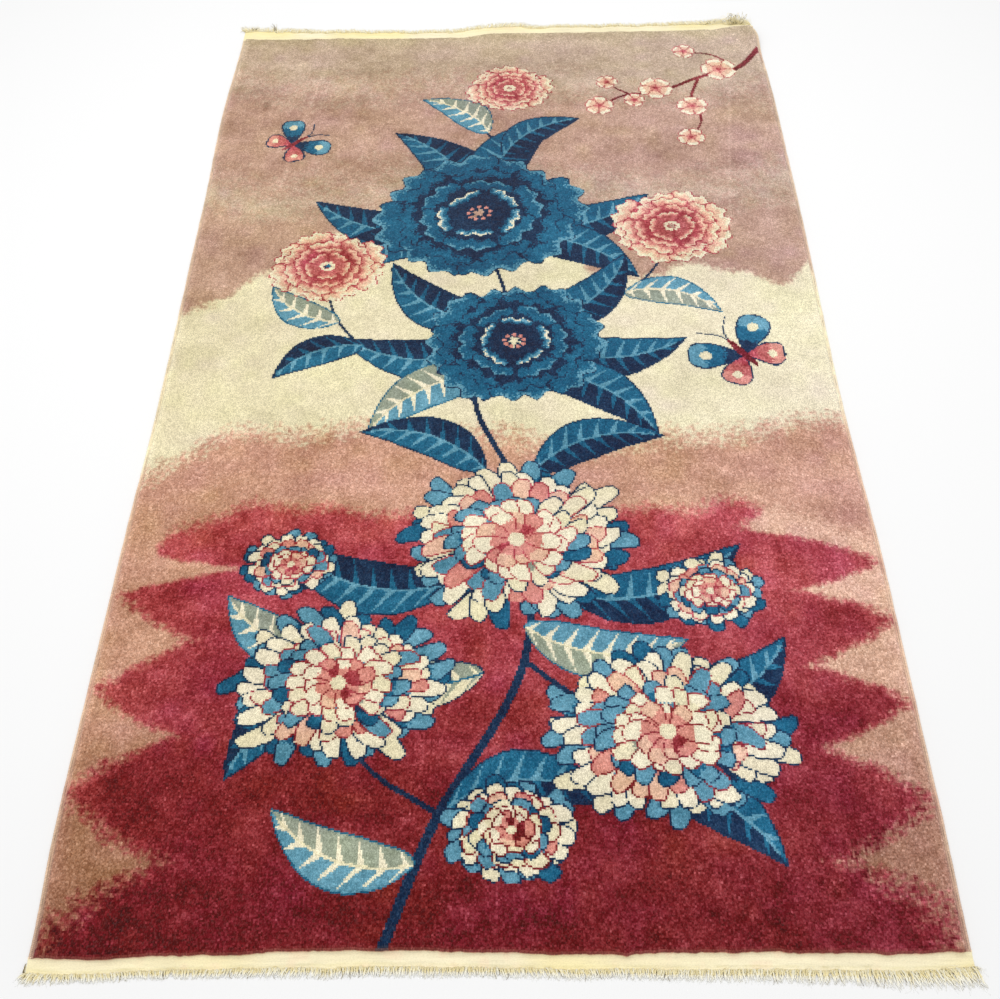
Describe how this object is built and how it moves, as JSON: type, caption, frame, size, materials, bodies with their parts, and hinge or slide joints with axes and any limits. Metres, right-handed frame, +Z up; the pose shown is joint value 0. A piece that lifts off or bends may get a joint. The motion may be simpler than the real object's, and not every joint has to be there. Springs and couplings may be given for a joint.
{
  "type": "chinese art deco pile rug",
  "caption": "Rectangular hand-knotted wool pile rug lying flat, with overcast long sides, a flat-woven cotton web and a short frayed fringe at each end, and one slightly curled corner.",
  "frame": {"origin": "middle of the underside, at the centre of the whole outline with both fringes", "axes": "+Y along the rug from its near end to its far end, +X across it to the right seen from the near end, +Z up out of the pile"},
  "size_m": [1.236, 2.183, 0.0219],
  "materials": {
    "wool_pile": "dense cut wool pile in many yarn colours, mostly burgundy, cream, mauve and tan, with a soft sheen",
    "cotton_web": "cream cotton flat weave with twisted, frayed warp ends",
    "wool_overcasting": "wool yarn in the pile's own colours, paler, wrapped closely round the edge warps"
  },
  "bodies": {
    "root": {"pile_field": "wool_pile", "end_near": "cotton_web", "end_far": "cotton_web", "overcast_left": "wool_overcasting", "overcast_right": "wool_overcasting"}
  },
  "joints": []
}
